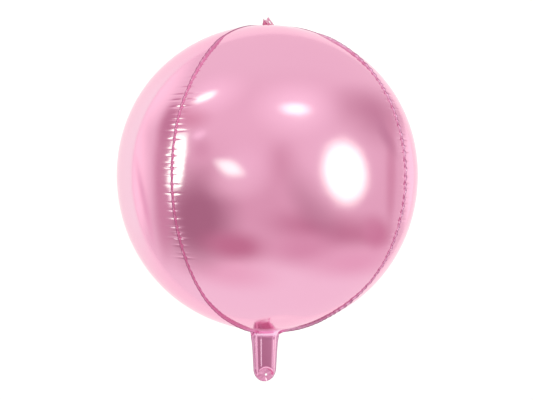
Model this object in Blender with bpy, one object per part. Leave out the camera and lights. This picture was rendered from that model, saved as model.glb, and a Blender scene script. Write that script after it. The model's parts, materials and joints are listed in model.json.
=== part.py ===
"""Sphere foil balloon, lying on the middle of its back panel.

Four film panels are welded edge to edge into a ball. The balloon's own axis runs along Y, from the filling neck
at -Y to the crown at +Y, and the front panel faces up. The origin is the middle of the small flat spot that the
balloon rests on, straight below the middle of the ball. All sizes are in metres and all angles in degrees.
"""

import math

import bmesh
import bpy
from mathutils import Vector

# Ball
BALL_RADIUS = 0.200
CROWN_RISE = 0.200
NECK_RISE = 0.2075
REST_RADIUS = 0.028

# Welded seams, as two leaves of film with a gap between the pieces
SEAM_ANGLE = 45.0
FLANGE_HEIGHT = 0.0025
LEAF = 0.0006
PIECE_GAP = 0.0003

# Fins where the four seams meet at the crown
FIN_REACH = 0.012
FIN_RISE = 0.0140
FIN_INNER_RADIUS = 0.0015

# Neck, measured from the pole of the ball to its end
NECK_LENGTH = 0.073
NECK_ROOT_HALF_WIDTH = 0.0178
NECK_TIP_HALF_WIDTH = 0.0163
NECK_ROOT_HALF_DEPTH = 0.0140
NECK_TIP_HALF_DEPTH = 0.0115
NECK_MARGIN = 0.003
SHOULDER_RADIUS = 0.030
SHOULDER_DROP = 0.016
TAB_LENGTH = 0.018
TAB_EASE = 0.010
TAB_FLAT = 0.0004
TAB_LAST_WIDTH = 0.30

# Facets
ARC_STEPS = 14
HALF_BALL_STEPS = 14
FIN_STEPS = 3
SHOULDER_STEPS = 6
NECK_STEPS = 5
EASE_STEPS = 3
TAB_STEPS = 5
SIDE_PANEL_END_STEP = 4

FOIL_COLOR = (0.86, 0.40, 0.62, 1.0)
FOIL_METALLIC = 1.0
FOIL_ROUGHNESS = 0.10
SHARP_ANGLE = 30.0

CENTRE_HEIGHT = math.sqrt(BALL_RADIUS**2 - REST_RADIUS**2)
NECK_ROOT_Y = -NECK_RISE * math.sqrt(1 - (SHOULDER_RADIUS / BALL_RADIUS) ** 2) - SHOULDER_DROP
TAB_ROOT_Y = TAB_LENGTH - NECK_RISE - NECK_LENGTH


def between(start, end, share):
    """The point, or the number, that lies this share of the way from start to end."""
    return start + (end - start) * share


def ball_profile(polar):
    """Distance from the axis, place along it and outward normal, at an angle from the crown."""
    rise = CROWN_RISE if polar < 90 else NECK_RISE
    sine, cosine = math.sin(math.radians(polar)), math.cos(math.radians(polar))
    normal = Vector((sine / BALL_RADIUS, cosine / rise)).normalized()
    return BALL_RADIUS * sine, rise * cosine, normal


def flange_height(radius, at_crown):
    """How far the welded edge stands out: a low flange that rises into a fin at the crown."""
    if not at_crown or radius >= FIN_REACH:
        return FLANGE_HEIGHT
    share = (FIN_REACH - radius) / (FIN_REACH - FIN_INNER_RADIUS)
    return between(FLANGE_HEIGHT, FIN_RISE, share)


def mirrored(half):
    """A whole cross-section from the axis point and the points of its +X half, in order round the panel."""
    axis, *side = half
    other = [Vector((-point.x, point.y, point.z)) for point in reversed(side)]
    return [axis, *side, *other]


def with_skin(seam_points, skin_of):
    """Put the skin's points between the last point of the +X half and its mirror image."""
    ring = mirrored(seam_points)
    foot = len(seam_points)
    skin = [skin_of(1 - 2 * step / ARC_STEPS) for step in range(1, ARC_STEPS)]
    return ring[:foot] + skin + ring[foot:]


def ball_ring(polar):
    """Cross-section of a panel that is centred on +Z: axis, wall, flange leaf and skin."""
    radius, y, normal = ball_profile(polar)
    height = flange_height(radius, polar < 90)
    seam = math.radians(SEAM_ANGLE)
    outward = Vector((math.sin(seam), 0, math.cos(seam)))
    inward = Vector((-math.cos(seam), 0, math.sin(seam)))
    wall = outward * radius + inward * (PIECE_GAP / 2) + Vector((0, y, 0))
    tip = wall + outward * (normal.x * height) + Vector((0, normal.y * height, 0))
    foot = wall + inward * LEAF
    foot_angle = math.atan2(foot.x, foot.z)
    foot_radius = math.hypot(foot.x, foot.z)

    def skin_of(place):
        angle = foot_angle * place
        return Vector((foot_radius * math.sin(angle), y, foot_radius * math.cos(angle)))

    axis = Vector((0, y, PIECE_GAP / 2 / math.sin(seam)))
    return with_skin([axis, wall, tip, tip + inward * LEAF, foot], skin_of)


def neck_ring(y, half_width, half_depth):
    """Cross-section of one wall of the neck: a flat inner side, a margin at each edge and a round outer side."""
    inner = half_width - NECK_MARGIN * half_width / NECK_ROOT_HALF_WIDTH
    low, high = PIECE_GAP / 2, PIECE_GAP / 2 + LEAF

    def skin_of(place):
        turn = math.radians(90 * place)
        return Vector((inner * math.sin(turn), y, high + half_depth * math.cos(turn)))

    seam_points = [
        Vector((0, y, low)),
        Vector((inner, y, low)),
        Vector((half_width, y, low)),
        Vector((half_width, y, high)),
        Vector((inner, y, high)),
    ]
    return with_skin(seam_points, skin_of)


def point_ring(y):
    """Cross-section of a side panel where it has closed to nothing, on the edge of the neck."""
    inner = NECK_ROOT_HALF_WIDTH - NECK_MARGIN

    def skin_of(_place):
        return Vector((0, y, inner))

    seam_points = [
        Vector((0, y, PIECE_GAP)),
        Vector((-PIECE_GAP / 2, y, inner)),
        Vector((-PIECE_GAP / 2, y, NECK_ROOT_HALF_WIDTH)),
        Vector((-PIECE_GAP / 2 - LEAF, y, NECK_ROOT_HALF_WIDTH)),
        Vector((-PIECE_GAP / 2 - LEAF, y, inner)),
    ]
    return with_skin(seam_points, skin_of)


def ball_rings():
    """Cross-sections from the crown to the shoulder of the neck."""
    inner = math.degrees(math.asin(FIN_INNER_RADIUS / BALL_RADIUS))
    reach = math.degrees(math.asin(FIN_REACH / BALL_RADIUS))
    shoulder = 180 - math.degrees(math.asin(SHOULDER_RADIUS / BALL_RADIUS))
    fin = [between(inner, reach, step / FIN_STEPS) for step in range(FIN_STEPS)]
    crown_half = [between(reach, 90, step / HALF_BALL_STEPS) for step in range(HALF_BALL_STEPS)]
    neck_half = [between(90, shoulder, step / HALF_BALL_STEPS) for step in range(HALF_BALL_STEPS + 1)]
    return [ball_ring(polar) for polar in fin + crown_half + neck_half]


def shoulder_rings(ball_end, neck_start, last_step):
    """Cross-sections that turn from the ball's skin into the neck, along a quarter of an ellipse."""
    rings = []
    for step in range(1, last_step + 1):
        turn = math.radians(90 * step / SHOULDER_STEPS)
        drop = Vector((0, -SHOULDER_DROP * (1 - math.cos(turn)), 0))
        ring = []
        for start, end in zip(ball_end, neck_start):
            point = between(start, end, math.sin(turn))
            point.y = start.y
            ring.append(point + drop)
        rings.append(ring)
    return rings


def neck_rings():
    """Cross-sections from the neck's root to its rounded end, in the order that the air would leave."""

    def size_at(y):
        share = (NECK_ROOT_Y - y) / (NECK_ROOT_Y - TAB_ROOT_Y)
        half_width = between(NECK_ROOT_HALF_WIDTH, NECK_TIP_HALF_WIDTH, share)
        return half_width, between(NECK_ROOT_HALF_DEPTH, NECK_TIP_HALF_DEPTH, share)

    ease_y = TAB_ROOT_Y + TAB_EASE
    rings = []
    for step in range(1, NECK_STEPS + 1):
        y = between(NECK_ROOT_Y, ease_y, step / NECK_STEPS)
        rings.append(neck_ring(y, *size_at(y)))
    for step in range(1, EASE_STEPS + 1):
        share = step / EASE_STEPS
        y = between(ease_y, TAB_ROOT_Y, share)
        half_width, half_depth = size_at(y)
        depth = between(TAB_FLAT, half_depth, math.cos(math.radians(90 * share)))
        rings.append(neck_ring(y, half_width, depth))
    last_turn = math.degrees(math.acos(TAB_LAST_WIDTH))
    for step in range(1, TAB_STEPS + 1):
        turn = math.radians(last_turn * step / TAB_STEPS)
        y = TAB_ROOT_Y - TAB_LENGTH * math.sin(turn) / math.sin(math.radians(last_turn))
        rings.append(neck_ring(y, NECK_TIP_HALF_WIDTH * math.cos(turn), 0))
    return rings


def wall_panel_rings():
    """Cross-sections of the front or the back panel, from the crown to the neck's end."""
    ball = ball_rings()
    root = neck_ring(NECK_ROOT_Y, NECK_ROOT_HALF_WIDTH, NECK_ROOT_HALF_DEPTH)
    return ball + shoulder_rings(ball[-1], root, SHOULDER_STEPS) + neck_rings()


def side_panel_rings():
    """Cross-sections of a side panel, which narrows to a point on the neck's edge."""
    ball = ball_rings()
    return ball + shoulder_rings(ball[-1], point_ring(NECK_ROOT_Y), SIDE_PANEL_END_STEP)


def cap_loops():
    """Corner numbers of the three faces that close a cross-section: the wedge and its two leaves."""
    wall, tip, outer_tip, foot = 1, 2, 3, 4
    far_foot = foot + ARC_STEPS
    far_outer_tip, far_tip, far_wall = far_foot + 1, far_foot + 2, far_foot + 3
    wedge = [0, wall, *range(foot, far_foot + 1), far_wall]
    return [wedge, [wall, tip, outer_tip, foot], [far_foot, far_outer_tip, far_tip, far_wall]]


def lofted(name, rings):
    """A closed mesh, grown by extruding the first cross-section through all the others."""
    grown = bmesh.new()
    corner = grown.verts.layers.int.new("corner")
    verts = [grown.verts.new(point) for point in rings[0]]
    for number, vert in enumerate(verts):
        vert[corner] = number
    cap = [grown.faces.new([verts[number] for number in loop]) for loop in cap_loops()]
    for ring in rings[1:]:
        edges = {edge for face in cap for edge in face.edges}
        corners = {vert for face in cap for vert in face.verts}
        step = bmesh.ops.extrude_face_region(grown, geom=[*cap, *edges, *corners])["geom"]
        for vert in (item for item in step if isinstance(item, bmesh.types.BMVert)):
            vert.co = ring[vert[corner]]
        cap = [item for item in step if isinstance(item, bmesh.types.BMFace)]
    bmesh.ops.recalc_face_normals(grown, faces=grown.faces)
    bmesh.ops.triangulate(grown, faces=grown.faces, quad_method="SHORT_EDGE", ngon_method="BEAUTY")
    mesh = bpy.data.meshes.new(name)
    grown.to_mesh(mesh)
    grown.free()
    return mesh


def flatten_spot(mesh):
    """Cut the panel flat where the balloon lies on it. The panel is centred on +Z here, so the cut is its top."""
    cut = bmesh.new()
    cut.from_mesh(mesh)
    everything = [*cut.verts, *cut.edges, *cut.faces]
    plane = Vector((0, 0, CENTRE_HEIGHT))
    bmesh.ops.bisect_plane(
        cut, geom=everything, plane_co=plane, plane_no=(0, 0, 1), clear_outer=True, dist=1e-6
    )
    rim = [edge for edge in cut.edges if edge.is_boundary]
    bmesh.ops.contextual_create(cut, geom=rim)
    bmesh.ops.recalc_face_normals(cut, faces=cut.faces)
    cut.to_mesh(mesh)
    cut.free()


def foil_material():
    """Pink metallised film."""
    material = bpy.data.materials.new("pink_foil")
    material.use_nodes = True
    shader = material.node_tree.nodes["Principled BSDF"]
    shader.inputs["Base Color"].default_value = FOIL_COLOR
    shader.inputs["Metallic"].default_value = FOIL_METALLIC
    shader.inputs["Roughness"].default_value = FOIL_ROUGHNESS
    return material


def add_panel(name, mesh, turn, parent, material):
    """Hang one panel on the balloon's middle, turned about the balloon's axis."""
    mesh.materials.append(material)
    mesh.shade_smooth()
    mesh.set_sharp_from_angle(angle=math.radians(SHARP_ANGLE))
    panel = bpy.data.objects.new(name, mesh)
    panel.parent = parent
    panel.rotation_euler = (0, math.radians(turn), 0)
    bpy.context.scene.collection.objects.link(panel)


def build_balloon():
    for obj in list(bpy.data.objects):
        bpy.data.objects.remove(obj, do_unlink=True)
    middle = bpy.data.objects.new("ball_middle", None)
    middle.location = (0, 0, CENTRE_HEIGHT)
    bpy.context.scene.collection.objects.link(middle)
    foil = foil_material()
    back = lofted("back_panel", wall_panel_rings())
    flatten_spot(back)
    add_panel("front_panel", lofted("front_panel", wall_panel_rings()), 0, middle, foil)
    add_panel("right_panel", lofted("right_panel", side_panel_rings()), 90, middle, foil)
    add_panel("back_panel", back, 180, middle, foil)
    add_panel("left_panel", lofted("left_panel", side_panel_rings()), -90, middle, foil)


build_balloon()
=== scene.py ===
"""Looks of a sphere foil balloon: four welded panels of mirror-bright pink film, lying on a pale round floor.

The balloon lies on the middle of its back panel. Its own axis runs along Y, from the filling neck at -Y to
the crown at +Y, and the front panel faces up, so the camera looks down on it. Sizes are in metres, the angles
given as sizes are in degrees, and places in the picture are in the photograph's own 533 x 400 pixels.
"""

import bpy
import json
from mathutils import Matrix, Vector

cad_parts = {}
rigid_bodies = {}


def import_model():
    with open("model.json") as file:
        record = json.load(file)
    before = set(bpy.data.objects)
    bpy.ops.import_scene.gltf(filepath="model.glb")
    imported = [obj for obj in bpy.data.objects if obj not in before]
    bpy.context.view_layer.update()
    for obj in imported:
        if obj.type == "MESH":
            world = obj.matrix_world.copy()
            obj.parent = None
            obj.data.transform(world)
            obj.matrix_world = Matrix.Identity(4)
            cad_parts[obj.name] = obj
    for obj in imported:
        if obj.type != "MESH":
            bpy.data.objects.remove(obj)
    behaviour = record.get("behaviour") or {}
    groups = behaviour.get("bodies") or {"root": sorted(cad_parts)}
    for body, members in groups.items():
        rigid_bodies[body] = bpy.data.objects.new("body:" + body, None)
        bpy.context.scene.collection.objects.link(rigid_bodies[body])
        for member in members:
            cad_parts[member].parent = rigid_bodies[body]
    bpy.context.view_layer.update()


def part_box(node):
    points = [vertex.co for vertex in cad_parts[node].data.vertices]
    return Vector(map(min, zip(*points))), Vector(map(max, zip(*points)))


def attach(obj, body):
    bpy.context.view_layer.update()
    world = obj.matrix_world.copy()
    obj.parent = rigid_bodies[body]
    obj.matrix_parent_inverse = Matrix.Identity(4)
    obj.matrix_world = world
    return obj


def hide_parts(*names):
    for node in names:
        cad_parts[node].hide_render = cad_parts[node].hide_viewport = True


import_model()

import json
import logging
import math
import random
from dataclasses import dataclass, field
from enum import Enum

import bpy
import numpy as np
from mathutils import Matrix, Vector

LOG = logging.getLogger("balloon")
BODY = "root"

Colour = tuple[float, float, float]
Pixel = tuple[float, float]
Span = tuple[float, float]
Table = tuple[tuple[float, float], ...]
DIAGONAL = math.sqrt(0.5)


class PanelKind(Enum):
    """What a film panel ends in at the neck."""

    WALL = "runs on as one wall of the neck"
    SIDE = "closes to a point on the edge of the neck"


class Turn(Enum):
    """Which way a panel faces, as its turn about the balloon's axis."""

    FRONT = 0.0
    RIGHT = 90.0
    BACK = 180.0
    LEFT = -90.0


def smooth_step(low: float, high: float, value: np.ndarray) -> np.ndarray:
    """Ease from 0 at low to 1 at high.

    Args:
        low: The value where the step starts.
        high: The value where the step ends.
        value: The values to ease.

    Returns:
        The eased values, from 0 to 1.
    """
    share = np.clip((value - low) / (high - low), 0.0, 1.0)
    return share * share * (3.0 - 2.0 * share)


def deselect_all() -> None:
    """Leave nothing selected, so that an operator acts on new geometry alone."""
    for obj in bpy.context.view_layer.objects:
        obj.select_set(False)


def make_active(obj: bpy.types.Object) -> None:
    """Select one object alone and make it the active one."""
    deselect_all()
    obj.select_set(True)
    bpy.context.view_layer.objects.active = obj


def apply_modifier(obj: bpy.types.Object, modifier: bpy.types.Modifier) -> None:
    """Apply one modifier to the object's mesh."""
    make_active(obj)
    bpy.ops.object.modifier_apply(modifier=modifier.name)


def latitude(polar: np.ndarray) -> np.ndarray:
    """Latitudes in degrees, positive towards the crown, from angles from the crown."""
    return 90 - np.degrees(polar)


def by_latitude(table: Table, polar: np.ndarray) -> np.ndarray:
    """Values from a table of latitudes and values."""
    return np.interp(latitude(polar), *zip(*table))


@dataclass(frozen=True)
class Fade:
    """A strength that eases off between two places."""

    start: float
    stop: float
    share: float = 1.0

    def at(self, place: np.ndarray) -> np.ndarray:
        """What is left of the strength at each place."""
        return 1 - self.share * smooth_step(self.start, self.stop, place)


@dataclass(frozen=True)
class BallForm:
    """The balloon's main sizes, read from the frame."""

    radius: float
    centre_height: float
    crown_rise: float
    neck_rise: float
    neck_end: float
    middle_swell: float = 0.0010
    slant_swell: float = 0.0011
    low_slant_swell: float = 0.0004

    @classmethod
    def from_frame(cls) -> "BallForm":
        """Read the ball's radius, height and reach from the CAD panels.

        Returns:
            The sizes.
        """
        left_low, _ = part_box("left_panel")
        front_low, front_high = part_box("front_panel")
        radius = -left_low[0]
        centre_height = front_high[2] - radius
        fin_rise, neck_length = 0.0140, 0.073
        return cls(
            radius=radius,
            centre_height=centre_height,
            crown_rise=front_high[1] - fin_rise,
            neck_rise=-front_low[1] - neck_length,
            neck_end=-front_low[1],
        )

    def profile(self, polar: np.ndarray) -> tuple[np.ndarray, np.ndarray, np.ndarray, np.ndarray]:
        """Follow the ball's outline from the crown.

        Args:
            polar: Angles from the crown, in radians.

        Returns:
            Distance from the axis, place along the axis, and the outward normal's two parts.
        """
        rise = np.where(polar < math.pi / 2, self.crown_rise, self.neck_rise)
        out, up = np.sin(polar) / self.radius, np.cos(polar) / rise
        length = np.hypot(out, up)
        out, up = out / length, up / length
        slant = np.where(polar < math.pi / 2, self.slant_swell, self.low_slant_swell)
        swell = self.middle_swell * np.sin(polar) ** 2 + slant * np.sin(2 * polar) ** 2 * np.sin(polar)
        return self.radius * np.sin(polar) + swell * out, rise * np.cos(polar) + swell * up, out, up


@dataclass(frozen=True)
class Settling:
    """How the film has settled out of true: rows turned a little about the axis, and the crown moved over."""

    low_turn: float = 1.1
    low_span: Span = (-6.0, -52.0)
    high_turn: float = 1.3
    high_span: Span = (14.0, 50.0)
    highest_turn: float = -1.8
    highest_span: Span = (52.0, 62.0)
    shoulder_fade: Fade = Fade(0.0, 0.8)
    crown_shift: float = -0.0022
    crown_fade: Fade = Fade(0.010, 0.034)

    def turn(self, polar: np.ndarray, shoulder: np.ndarray) -> np.ndarray:
        """How far each row is turned: most at high and low latitudes, and not at all on the neck.

        Args:
            polar: Angles from the crown, in radians.
            shoulder: How far each row is over the shoulder, from 0 on the ball to 1 on the neck.

        Returns:
            The turns, in degrees.
        """
        place = latitude(polar)
        low = self.low_turn * smooth_step(*self.low_span, place)
        high = self.high_turn * smooth_step(*self.high_span, place)
        high = high + self.highest_turn * smooth_step(*self.highest_span, place)
        return (low + high) * self.shoulder_fade.at(shoulder)

    def shift(self, radius: np.ndarray, polar: np.ndarray) -> np.ndarray:
        """How far each row is moved sideways, which is only near the crown."""
        return np.where(polar < math.pi / 2, self.crown_shift * self.crown_fade.at(radius), 0.0)


@dataclass(frozen=True)
class Crease:
    """One gather across a seam."""

    place: float
    depth: float
    reach: float
    width: float


@dataclass
class Seam:
    """One welded seam: its gathers, and the waves that they put into its standing flange.

    A seam is known by its turn about the axis, so that the panels on its two sides share one set of gathers.
    """

    turn: float
    length: float
    heights: Table
    leans: Table = ((-90.0, 0.0), (90.0, 0.0))
    drifts: Table = ((-90.0, 0.0), (90.0, 0.0))
    drift_fade: Fade = Fade(0.0, 0.9)
    wave: float = 0.0003
    slow_wave: float = 0.45
    slow_pace: float = 0.37
    spacing: float = 0.0088
    jitter: float = 0.0026
    crease_strengths: tuple[float, ...] = (0.4, 0.7, 1.0, 1.0)
    crease_depths: Span = (0.0005, 0.0009)
    crease_reaches: Span = (0.005, 0.010)
    crease_widths: Span = (0.0008, 0.0012)
    groove_depth: float = 0.00003
    groove_reach: float = 0.0030
    fin_reach: float = 0.0125
    fin_height: float = 0.0140
    fin_apex: float = 0.0005
    fin_inner: float = 0.55
    creases: list[Crease] = field(default_factory=list)

    def __post_init__(self) -> None:
        """Place the gathers along the seam, from a seed of the seam's own."""
        draw = random.Random(f"seam {round(self.turn) % 360}")
        place = self.spacing * draw.random()
        while place < self.length:
            depth = draw.choice(self.crease_strengths) * draw.uniform(*self.crease_depths)
            reach = draw.uniform(*self.crease_reaches)
            self.creases.append(Crease(place, depth, reach, draw.uniform(*self.crease_widths)))
            place += self.spacing + draw.uniform(-self.jitter, self.jitter)

    def gather_count(self, along: np.ndarray) -> np.ndarray:
        """How many gathers lie before each place, as a number that grows smoothly between them."""
        places = [crease.place for crease in self.creases]
        return np.interp(along, places, np.arange(len(places), dtype=float))

    def sideways(self, along: np.ndarray, strength: np.ndarray) -> np.ndarray:
        """How far the flange's edge waves out of its plane.

        Args:
            along: Distance down the seam from the crown.
            strength: How strongly the flange waves at each place.

        Returns:
            The distance towards a larger turn.
        """
        count = 2 * math.pi * self.gather_count(along)
        swing = np.sin(count) + self.slow_wave * np.sin(self.slow_pace * count + self.turn)
        return self.wave * strength * swing

    def relief(self, along: np.ndarray, away: np.ndarray, strength: np.ndarray, stretch: float) -> np.ndarray:
        """How far the skin is drawn inwards near the seam.

        Args:
            along: Distance down the seam from the crown.
            away: Distance from the seam across the skin.
            strength: How strong the gathers are at each place.
            stretch: How much farther than usual the gathers run on this panel.

        Returns:
            The depth below the smooth ball.
        """
        depth = self.groove_depth * np.exp(-away / self.groove_reach)
        for crease in self.creases:
            across = np.exp(-(((along - crease.place) / crease.width) ** 2))
            fade = np.exp(-((away / (crease.reach * stretch)) ** 2))
            depth = depth + crease.depth * strength * across * fade
        return depth

    def stand(self, radius: np.ndarray, polar: np.ndarray) -> np.ndarray:
        """Height of the flange, which changes along the seam and rises into a fin where the seams meet.

        Args:
            radius: Distance from the balloon's axis.
            polar: Angles from the crown, in radians.

        Returns:
            The heights above the skin.
        """
        low = by_latitude(self.heights, polar)
        outer = (self.fin_reach - radius) / (self.fin_reach - self.fin_apex)
        inner = self.fin_inner + (1 - self.fin_inner) * radius / self.fin_apex
        share = np.clip(np.minimum(outer, inner), 0.0, 1.0)
        return np.where(polar < math.pi / 2, low + (self.fin_height - low) * share, low)

    def drift(self, polar: np.ndarray, shoulder: np.ndarray) -> np.ndarray:
        """How far the seam runs to one side of its own turn, in degrees."""
        return by_latitude(self.drifts, polar) * self.drift_fade.at(shoulder)

    def lean(self, polar: np.ndarray) -> np.ndarray:
        """How far the flange leans towards a larger turn, in radians."""
        return np.radians(by_latitude(self.leans, polar))


@dataclass
class NeckForm:
    """The flattened filling neck: an inflated tube between welded margins, and a flat rounded end."""

    ball: BallForm
    shoulder_radius: float = 0.038
    shoulder_drop: float = 0.0174
    root_half_width: float = 0.0180
    tip_half_width: float = 0.0158
    margin: float = 0.0024
    fillet: float = 0.0007
    web: float = 0.0012
    web_reach: float = 0.0060
    tab_length: float = 0.018
    flat_radius: float = 0.0092
    flat_middle: float = -0.2708
    ease: float = 0.0065
    shift: float = -0.0016
    lean: float = 0.0003
    crinkle: float = 0.00030
    hole_radius: float = 0.0016
    hole_place: tuple[float, float] = (0.0004, -0.2712)
    facings: Table = (
        (-1.0, -44), (-0.90, -48), (-0.84, -64), (-0.78, -64), (-0.72, -38), (-0.56, -38), (-0.50, -51),
        (-0.44, -51), (-0.38, -37), (-0.30, -36), (0.38, -31), (0.43, 4), (0.47, 15), (0.58, 23), (0.62, 50),
        (0.74, 63), (0.80, 73), (0.90, 77), (1.0, 79),
    )

    @property
    def root(self) -> float:
        """Where the neck starts, below the shoulder."""
        cap = math.sqrt(1 - (self.shoulder_radius / self.ball.radius) ** 2)
        return -self.ball.neck_rise * cap - self.shoulder_drop

    @property
    def tab_root(self) -> float:
        """Where the inflated tube ends and the flat end begins."""
        return self.tab_length - self.ball.neck_end

    def straight_half_width(self, along: np.ndarray) -> np.ndarray:
        """Half the neck's width at each place, tapering and not rounded off."""
        share = np.clip((self.root - along) / (self.root - self.tab_root), 0.0, 1.0)
        return self.root_half_width + (self.tip_half_width - self.root_half_width) * share

    def half_width(self, along: np.ndarray) -> np.ndarray:
        """Half the neck's width at each place, rounded off at the end."""
        past = np.clip((self.tab_root - along) / self.tab_length, 0.0, 1.0)
        return self.straight_half_width(along) * np.sqrt(np.maximum(1 - past**2, 0.0))

    @property
    def inner_share(self) -> float:
        """The share of the neck's width that lies between the welded margins."""
        return 1 - self.margin / self.root_half_width

    def edge_width(self, along: np.ndarray) -> np.ndarray:
        """Width of the welded margin at each place, with a small web of film at the neck's root."""
        margin = self.margin * self.half_width(along) / self.root_half_width
        return margin + self.web * np.exp(-np.maximum(self.root - along, 0.0) / self.web_reach)

    def section(self, place: np.ndarray) -> np.ndarray:
        """The wall's uneven cross-section, from the way that it faces at a few places.

        Args:
            place: Places across the wall, from -1 to 1.

        Returns:
            The heights, in half-widths of the wall.
        """
        stations = np.linspace(-1.0, 1.0, 401)
        slope = -np.tan(np.radians(np.interp(stations, *zip(*self.facings))))
        steps = np.diff(stations) * (slope[1:] + slope[:-1]) / 2
        height = np.concatenate([[0.0], np.cumsum(steps)])
        height = height - height[-1] * (stations + 1) / 2
        return np.interp(place, stations, height)

    def bulge(self, along: np.ndarray, place: np.ndarray, across: np.ndarray) -> np.ndarray:
        """How far one wall of the neck stands out from its middle plane.

        Args:
            along: Place along the axis.
            place: Place across the wall, from -1 to 1.
            across: The same place in metres.

        Returns:
            The height of the wall.
        """
        arch = self.flat_middle + np.sqrt(np.maximum(self.flat_radius**2 - across**2, 0.0))
        closing = np.sqrt(np.clip((along - arch) / self.ease, 0.0, 1.0))
        closing = closing * (2.0 - closing)
        inner = self.straight_half_width(along) * self.inner_share
        return inner * closing * np.clip(self.section(place), 0.0, None)

    def tab_crinkle(self, along: np.ndarray, across: np.ndarray) -> np.ndarray:
        """Small creases that fan out over the flat end, for both walls alike.

        Args:
            along: Place along the axis.
            across: Place across the neck.

        Returns:
            How far the film is moved out of its plane.
        """
        x, y = self.hole_place
        from_hole = np.hypot(across - x, along - y)
        angle = np.arctan2(along - y, across - x)
        flat = smooth_step(self.tab_root + 0.003, self.tab_root - 0.002, along)
        fan = (
            0.5 * np.sin(4 * angle + 0.8 + 180 * from_hole)
            + 0.3 * np.sin(7 * angle + 2.1 - 320 * from_hole)
            + 0.2 * np.sin(11 * angle - 1.0)
        )
        return flat * self.crinkle * fan * smooth_step(0.001, 0.006, from_hole)


@dataclass(frozen=True)
class Rows:
    """Stations of a panel from the crown down, one entry for each row of its mesh."""

    radius: np.ndarray
    along: np.ndarray
    out: np.ndarray
    up: np.ndarray
    path: np.ndarray
    shoulder: np.ndarray
    neck: np.ndarray
    polar: np.ndarray


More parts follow.
